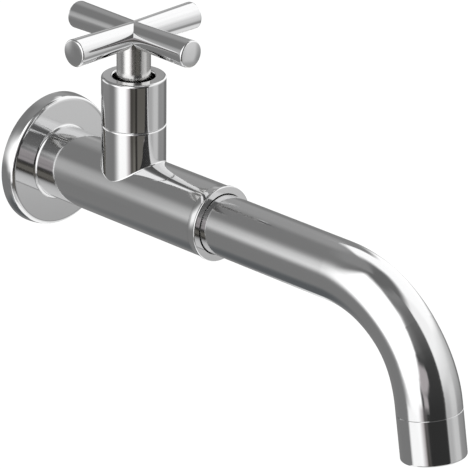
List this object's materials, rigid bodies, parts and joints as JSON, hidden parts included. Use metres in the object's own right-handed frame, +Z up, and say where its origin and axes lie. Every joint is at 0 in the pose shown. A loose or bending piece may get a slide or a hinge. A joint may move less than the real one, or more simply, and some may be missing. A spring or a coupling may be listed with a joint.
{
  "type": "cold water tap",
  "caption": "Wall-mounted cold water tap with a cross handle on an upright quarter-turn valve and a long swivelling spout that bends down to an aerated nozzle.",
  "frame": {"origin": "middle of the inlet in the plane of the wall, at the back of the wall flange", "axes": "+Z up, -Y out of the wall along the barrel and the spout, +X to the right seen from the front"},
  "size_m": [0.0712, 0.2615, 0.1463],
  "materials": {
    "polished_chrome": "polished plating",
    "brass": "turned, unplated",
    "sealing_foam": "closed-cell foam",
    "rubber": "smooth black rubber",
    "washer_plastic": "white low-friction plastic",
    "ceramic": "lapped white ceramic",
    "steel": "stainless",
    "aerator_plastic": "moulded grey plastic"
  },
  "bodies": {
    "tap": {"wall_flange": "polished_chrome", "flange_seal": "sealing_foam", "inlet_nipple": "brass", "body": "polished_chrome", "bonnet_cover": "polished_chrome", "cartridge_body": "brass", "cartridge_washer": "washer_plastic", "seat_seal": "rubber", "fixed_disc": "ceramic", "spindle_washer": "washer_plastic", "spout_ring": "polished_chrome"},
    "handle": {"handle": "polished_chrome", "handle_grub_screw": "steel", "spindle": "brass", "spindle_circlip": "steel", "spindle_o_ring_lower": "rubber", "spindle_o_ring_upper": "rubber", "moving_disc": "ceramic"},
    "spout": {"spout_tube": "polished_chrome", "spout_tail": "brass", "spout_o_ring_rear": "rubber", "spout_o_ring_front": "rubber", "spout_split_ring": "washer_plastic", "outlet_adapter": "brass", "nozzle_housing": "polished_chrome", "aerator_seal": "rubber", "aerator_inlet_plate": "aerator_plastic", "aerator_cage": "aerator_plastic", "aerator_screen": "steel"}
  },
  "joints": [
    {"name": "handle_turn", "type": "hinge", "parent": "tap", "child": "handle", "pos_m": [0, -0.0525, 0.0718], "axis": [0, 0, 1], "range_deg": [0, 90]},
    {"name": "spout_swing", "type": "hinge", "parent": "tap", "child": "spout", "pos_m": [0, -0.1022, 0], "axis": [0, -1, 0], "range_deg": [-90, 90]}
  ]
}
